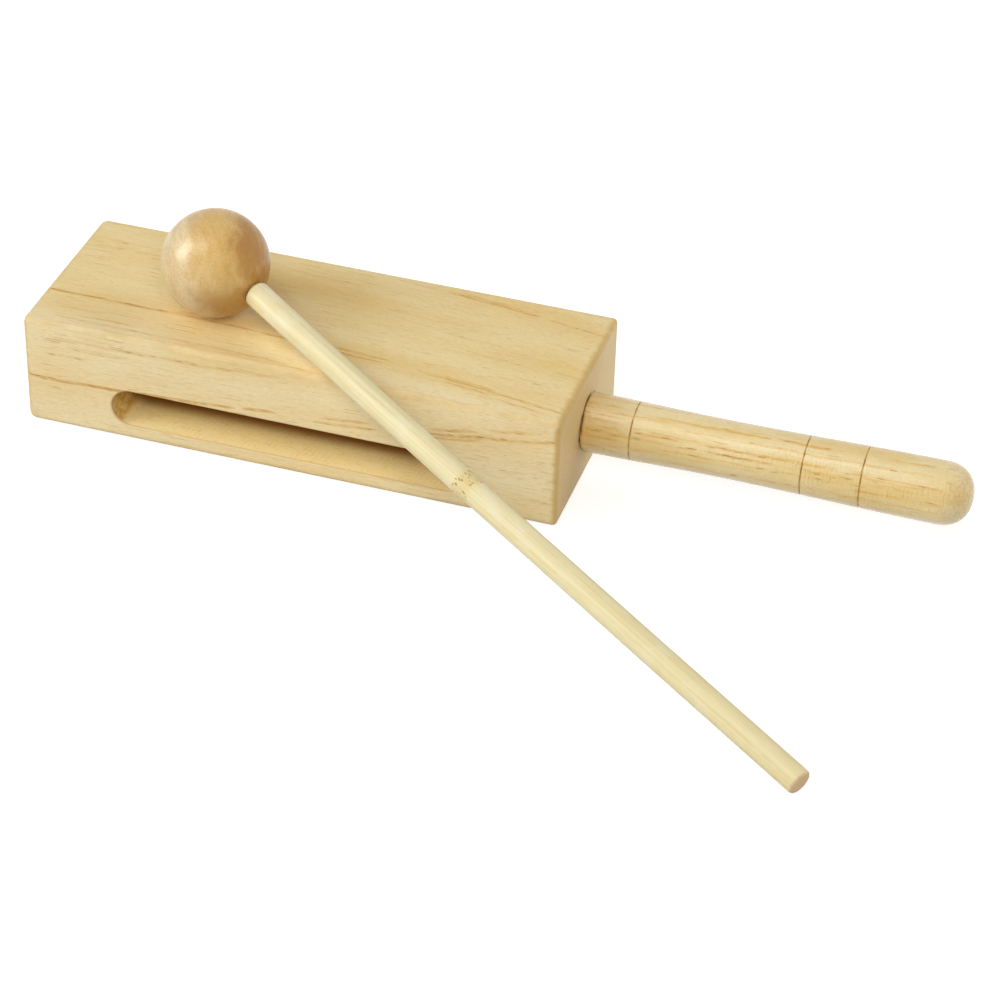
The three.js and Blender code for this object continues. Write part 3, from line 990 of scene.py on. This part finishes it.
# %% Colour the handle and burn its rings
end_streaks = ease(noise(grain, (5, 0.6, 0.6), 3, 0.6), 0.42, 0.68)
scorch = 0.0
for reach in RING_REACHES:
    off_ring = maths("ABSOLUTE", maths("SUBTRACT", spot[0], reach))
    scorch = maths("MAXIMUM", scorch, ease(off_ring, RING_WIDTH / 2, RING_WIDTH / 6))
burn_patches = ease(noise(here, (2, 3, 3), 2), 0.3, 0.65, 0.35, 0.95)
collar = ease(spot[0], 1.3, 0.3)
collar_patches = ease(noise(here, (3, 7, 7), 1), 0.46, 0.58)
marks = place(touch_group, Place=here, Patch=9.0)
wood = layered(
    colour("eedaa6"),
    ("e6ca88", ease(fibre["Cloud"], 0.35, 0.68)),
    ("d6b067", ease(fibre["Streak"], 0.48, 0.8), 0.2),
    ("d2a648", ease(fibre["Hair"], 0.5, 0.8), 0.4),
    ("cfa040", ease(fibre["Fuzz"], 0.45, 0.75), 0.25),
    ("e6b64a", crowd, 0.4),
    ("d49a30", strands, 0.75),
    ("ae7820", pores, 0.7),
    ("b07c2c", ticks, 0.45),
    ("d8ac5a", ease(spot[0], 20, 3), 0.3),
    ("c0885a", end_streaks, ease(spot[0], grip_end, grip_end + 8, 0.0, 0.42)),
    ("b27c2e", scorch, burn_patches),
    ("7c5424", collar, collar_patches, 0.8),
    ("8a6232", marks["Speck"], 0.4),
)

# %% Give the handle its gloss lacquer and lathe marks
gloss = total(0.3, (marks["Smudge"], 0.1), (marks["Scratch"], 0.1), (scorch, 0.3))
chatter_turn = total((spot[0], 4.6), (noise(here, (4, 3, 3), 3, 0.6), 14.0))
chatter_bite = ease(noise(here, (10, 3, 3), 2), 0.4, 0.65)
chatter_wave = product(maths("SINE", chatter_turn), chatter_bite)
lumps = noise(here, (0.8, 1.2, 1.2), 2, 0.6)
from_axis = distance(0.0, spot[1], spot[2])
end_turn = total((from_axis, 6.5), (noise(here, (4, 4, 4), 2), 5.0))
on_dome = ease(spot[0], grip_end + 4, grip_end + 8)
end_rings = product(maths("SINE", end_turn), on_dome)
relief = total(0.5, (chatter_wave, 0.1), (lumps, 0.8), (end_rings, 0.06), (fibre["Hair"], 0.05),
               (pores, -0.1))
connect(shader.inputs, {
    "Base Color": wood, "Roughness": gloss, "Normal": bump(relief, 0.5),
    "Specular IOR Level": 0.2, "Coat Weight": 0.6, "Coat Roughness": 0.14})
print("Handle wood has", len(tree.nodes), "nodes")

# %% [markdown]
# ## Wood of the ball
# The ball is a harder, browner wood with such fine pores that they read as a cloudy figure. Along
# the room's axes its colour runs from a pale side, which is painted light, to a darker side and a
# darker underside, which are painted shade with some heartwood tone, while the figure follows the
# ball's own turned grain. Tiny dimples in the lacquer soften the highlight.

# %% Mix the ball's wood
# The way from the ball's painted, lit side to its painted, shaded side
LIGHT_TO_SHADE_WAY = (0.75, 0.1, 0.25)
BALL_GRAIN_TURN = (0, math.radians(25), math.radians(-50))

ball_wood, tree, shader, here = new_material("ball_wood", ball_centre, BALL_GRAIN_TURN)
fibre = place(fibre_group, Place=here)
swirl = noise(here, (14, 6, 7), 4, 0.6, 1.0)
cloud = noise(here, (12, 8, 9), 4, 0.6, 0.6)
fuzz = noise(here, (0.7, 0.4, 0.4), 3, 0.6)
figure = noise(here, (20, 3, 6), 3, 0.5, 0.8)
flecks = place(pore_group, Place=here, Length=1.5, Width=0.45, Cover=0.35)["Mask"]

level = places(tree, ball_centre)
# Painted light and shade: the colour runs from a pale lit side to a darker shaded side, with some
# heartwood tone
light_to_shade_way = tuple(Vector(LIGHT_TO_SHADE_WAY).normalized())
towards_shaded_side = vector("DOT_PRODUCT", level, light_to_shade_way)
heart_and_shade = total(towards_shaded_side, (maths("SUBTRACT", cloud, 0.5), 16.0))
# Painted shade: the ball is darker underneath
shade_below = ease(add("SeparateXYZ", {0: level}).outputs[2], 5.0, -7.0)
marks = place(touch_group, Place=here, Patch=7.0)
wood = layered(
    colour("e5d0a2"),
    ("deba74", ease(heart_and_shade, -5.0, 5.0)),
    ("a86e20", ease(heart_and_shade, 7.5, 15.0), 0.82),
    ("cc9a48", ease(swirl, 0.4, 0.65), 0.3),
    ("efd295", ease(figure, 0.5, 0.7), 0.15),
    ("b98440", ease(figure, 0.5, 0.3), 0.2),
    ("a86e22", shade_below, ease(heart_and_shade, -12.0, 4.0), 0.65),
    ("a87636", ease(fuzz, 0.4, 0.7), 0.3),
    ("9a6a34", flecks, 0.22),
    ("e3c183", ease(fibre["Streak"], 0.5, 0.8), 0.1),
    ("6d431c", marks["Speck"], 0.6),
)
gloss = total(0.36, (marks["Smudge"], 0.1), (marks["Scratch"], 0.1))
dimples = noise(here, (0.6, 0.6, 0.6), 2, 0.6)
connect(shader.inputs, {
    "Base Color": wood, "Roughness": gloss, "Normal": bump(dimples, 0.3),
    "Specular IOR Level": 0.1, "Coat Weight": 0.6, "Coat Roughness": 0.25})
print("Ball wood has", len(tree.nodes), "nodes")

# %% [markdown]
# ## Bamboo
# Bamboo is pale cream, with long straight fibres and no rings, and it yellows a little towards
# the tip. Only at the joint do the fibres knot and cross, and there the skin is speckled with short
# brown dashes. The cut end at the tip is duller and a little pink.

# %% Mix the bamboo
JOINT_HALF_BAND = 4.5
YELLOWING_START = 140

bamboo, tree, shader, here = new_material("bamboo", ball_centre, mallet_turn)
spot = add("SeparateXYZ", {0: here}).outputs
fibre = place(fibre_group, Place=here)
strands = noise(here, (90, 0.9, 0.9), 3, 0.6)
bleached = ease(noise(here, (11, 5, 5), 3, 0.6), 0.48, 0.66)
node_reach = shoulder_reach + BAMBOO_NODE_REACH
off_joint = maths("ABSOLUTE", maths("SUBTRACT", spot[0], node_reach))
near_joint = ease(off_joint, JOINT_HALF_BAND, JOINT_HALF_BAND / 3)
jumble = add("TexNoise", {"Vector": here, "Scale": 0.9}).outputs["Color"]
knotted = vector("ADD", here, jumble)
knot_cover = product(near_joint, 0.95)
knots = place(pore_group, Place=knotted, Length=2.0, Width=0.9, Cover=knot_cover)["Mask"]
tubes = noise(here, (2, 0.35, 0.35), 2, 0.6)
cut_face = tint(colour("e8c9a0"), colour("d6ae80"), ease(tubes, 0.4, 0.7))
cut_end = ease(spot[0], tip_reach - 0.8, tip_reach - 0.1)
skin = layered(
    colour("ece2b6"),
    ("e1d09a", ease(strands, 0.3, 0.7)),
    ("efe8cc", bleached, 0.4),
    ("ddc588", ease(spot[0], YELLOWING_START, tip_reach), 0.3),
    ("d9c389", ease(fibre["Hair"], 0.45, 0.85), 0.35),
    ("d8b866", near_joint, 0.4),
    ("a27628", knots, 0.85),
)
skin = tint(skin, cut_face, cut_end, 0.9)
marks = place(touch_group, Place=here, Patch=10.0)
gloss = total(0.32, (marks["Smudge"], 0.08), (marks["Scratch"], 0.1), (cut_end, 0.3))
relief = total(0.5, (knots, -0.8), (strands, 0.9), (fibre["Hair"], 0.5))
connect(shader.inputs, {
    "Base Color": skin, "Roughness": gloss, "Normal": bump(relief, 0.04),
    "Specular IOR Level": 0.1, "Coat Weight": 0.06, "Coat Roughness": 0.2})
print("Bamboo has", len(tree.nodes), "nodes")

# %% [markdown]
# ## Hanging the pieces on their bodies
# The block and its handle are one body. The ball and its stick are another, which can be lifted
# off. Each fine mesh stands in for the plain solid of the construction model.

# %% Dress the construction model
dressing = [
    (block, block_wood, "block", "resonator_block", "block_wood"),
    (handle, handle_wood, "block", "handle", "handle_wood"),
    (ball, ball_wood, "mallet", "mallet_head", "ball_wood"),
    (stick, bamboo, "mallet", "mallet_stick", "bamboo"),
]
for piece, material, body, node, slot in dressing:
    piece.data.materials.clear()
    piece.data.materials.append(material)
    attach(piece, body)
    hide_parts(node)
    print(piece.name, "rides on", body, "and stands for", node)

# %% [markdown]
# ## The studio
# The light is plain and soft: a key lamp on the left, a front lamp on the right and weaker ones all
# round. Each would leave its own glint in the lacquer, so they are hidden from glossy rays, and two
# glint lamps, the strip and the spark, show in the lacquer alone. The floor is white card. Only
# what the camera and reflections see of it is lifted to full white, so that it lights the wood like
# card and still keeps the soft shadow under the block. Far off it fades to plain white.

# %% Lamps and surround
LAMP_DISTANCE = 1.3
AMBIENT = 0.03
# Name, azimuth and elevation in degrees, width and height in metres, and brightness
LAMPS = [
    ("key", -62, 31, 0.6, 0.6, 0.42),
    ("strip", -66, 30, 0.5, 0.75, 0.65),
    ("spark", -32, 64, 0.6, 0.6, 0.22),
    ("top", -42, 58, 0.8, 0.8, 0.2),
    ("fill", -20, 28, 1.0, 1.0, 0.12),
    ("front", 20, 40, 0.6, 0.6, 0.42),
    ("right", 102, 12, 0.9, 0.9, 0.21),
    ("back", 126, 36, 0.8, 0.8, 0.26),
    ("rear", 190, 8, 0.9, 0.9, 0.3),
]
GLINTS = ["strip", "spark"]
for name, azimuth, elevation, width, height, brightness in LAMPS:
    way = towards(math.radians(azimuth), math.radians(elevation))
    bpy.ops.object.light_add(type="AREA", location=way * LAMP_DISTANCE)
    lamp = bpy.context.object
    lamp.name = name
    lamp.rotation_euler = way.to_track_quat("Z", "Y").to_euler()
    lamp.visible_glossy = name in GLINTS
    lamp.visible_diffuse = name not in GLINTS
    lamp.data.shape = "RECTANGLE"
    lamp.data.size = width
    lamp.data.size_y = height
    lamp.data.energy = brightness * (math.pi * LAMP_DISTANCE) ** 2

world = bpy.data.worlds.new("surround")
bpy.context.scene.world = world
world.use_nodes = True
tree = world.node_tree
tree.nodes.clear()


def seen(tree):
    """1 for rays from the camera, from a mirror or through glass, and 0 for rays that light things"""
    path = add("LightPath", {}, tree).outputs
    looked = maths("MAXIMUM", path["Is Camera Ray"], path["Is Glossy Ray"])
    return maths("MAXIMUM", looked, path["Is Transmission Ray"])


lit = add("Background", {"Color": (1, 1, 1, 1), "Strength": AMBIENT}, tree)
shown = add("Background", {"Color": (1, 1, 1, 1), "Strength": 1.0}, tree)
both = add("MixShader", {0: seen(tree), 1: lit.outputs[0], 2: shown.outputs[0]})
add("OutputWorld", {0: both.outputs[0]})

# %% Floor of white card
FLOOR_SIZE = 6.0
FLOOR_SINK = 0.05
FLOOR_LIFT = 0.68
FLOOR_FADE_START = 260
FLOOR_FADE_END = 480

bpy.ops.mesh.primitive_plane_add(size=FLOOR_SIZE, location=(0, 0, -FLOOR_SINK * MM))
floor = named("floor")
card, tree, shader, here = new_material("white_card", (0, 0, 0))
tree.nodes.remove(shader)
paper = noise(here, (0.8, 0.8, 0.8), 3)
matt = add("BsdfDiffuse", {"Color": tint(colour("c6c6c4"), colour("cccccb"), paper)})
glow = add("Emission", {"Strength": FLOOR_LIFT}, tree)
near = add("AddShader", {0: matt.outputs[0], 1: glow.outputs[0]})
white = add("Emission", {"Strength": 1.0}, tree)
fade = ease(vector("LENGTH", here), FLOOR_FADE_START, FLOOR_FADE_END)
looked_at = add("MixShader", {0: fade, 1: near.outputs[0], 2: white.outputs[0]})
whole = add("MixShader", {0: seen(tree), 1: matt.outputs[0], 2: looked_at.outputs[0]})
connect(tree.nodes["Material Output"].inputs, {0: whole.outputs[0]})
floor.data.materials.append(card)
bpy.context.scene.view_settings.view_transform = "Standard"
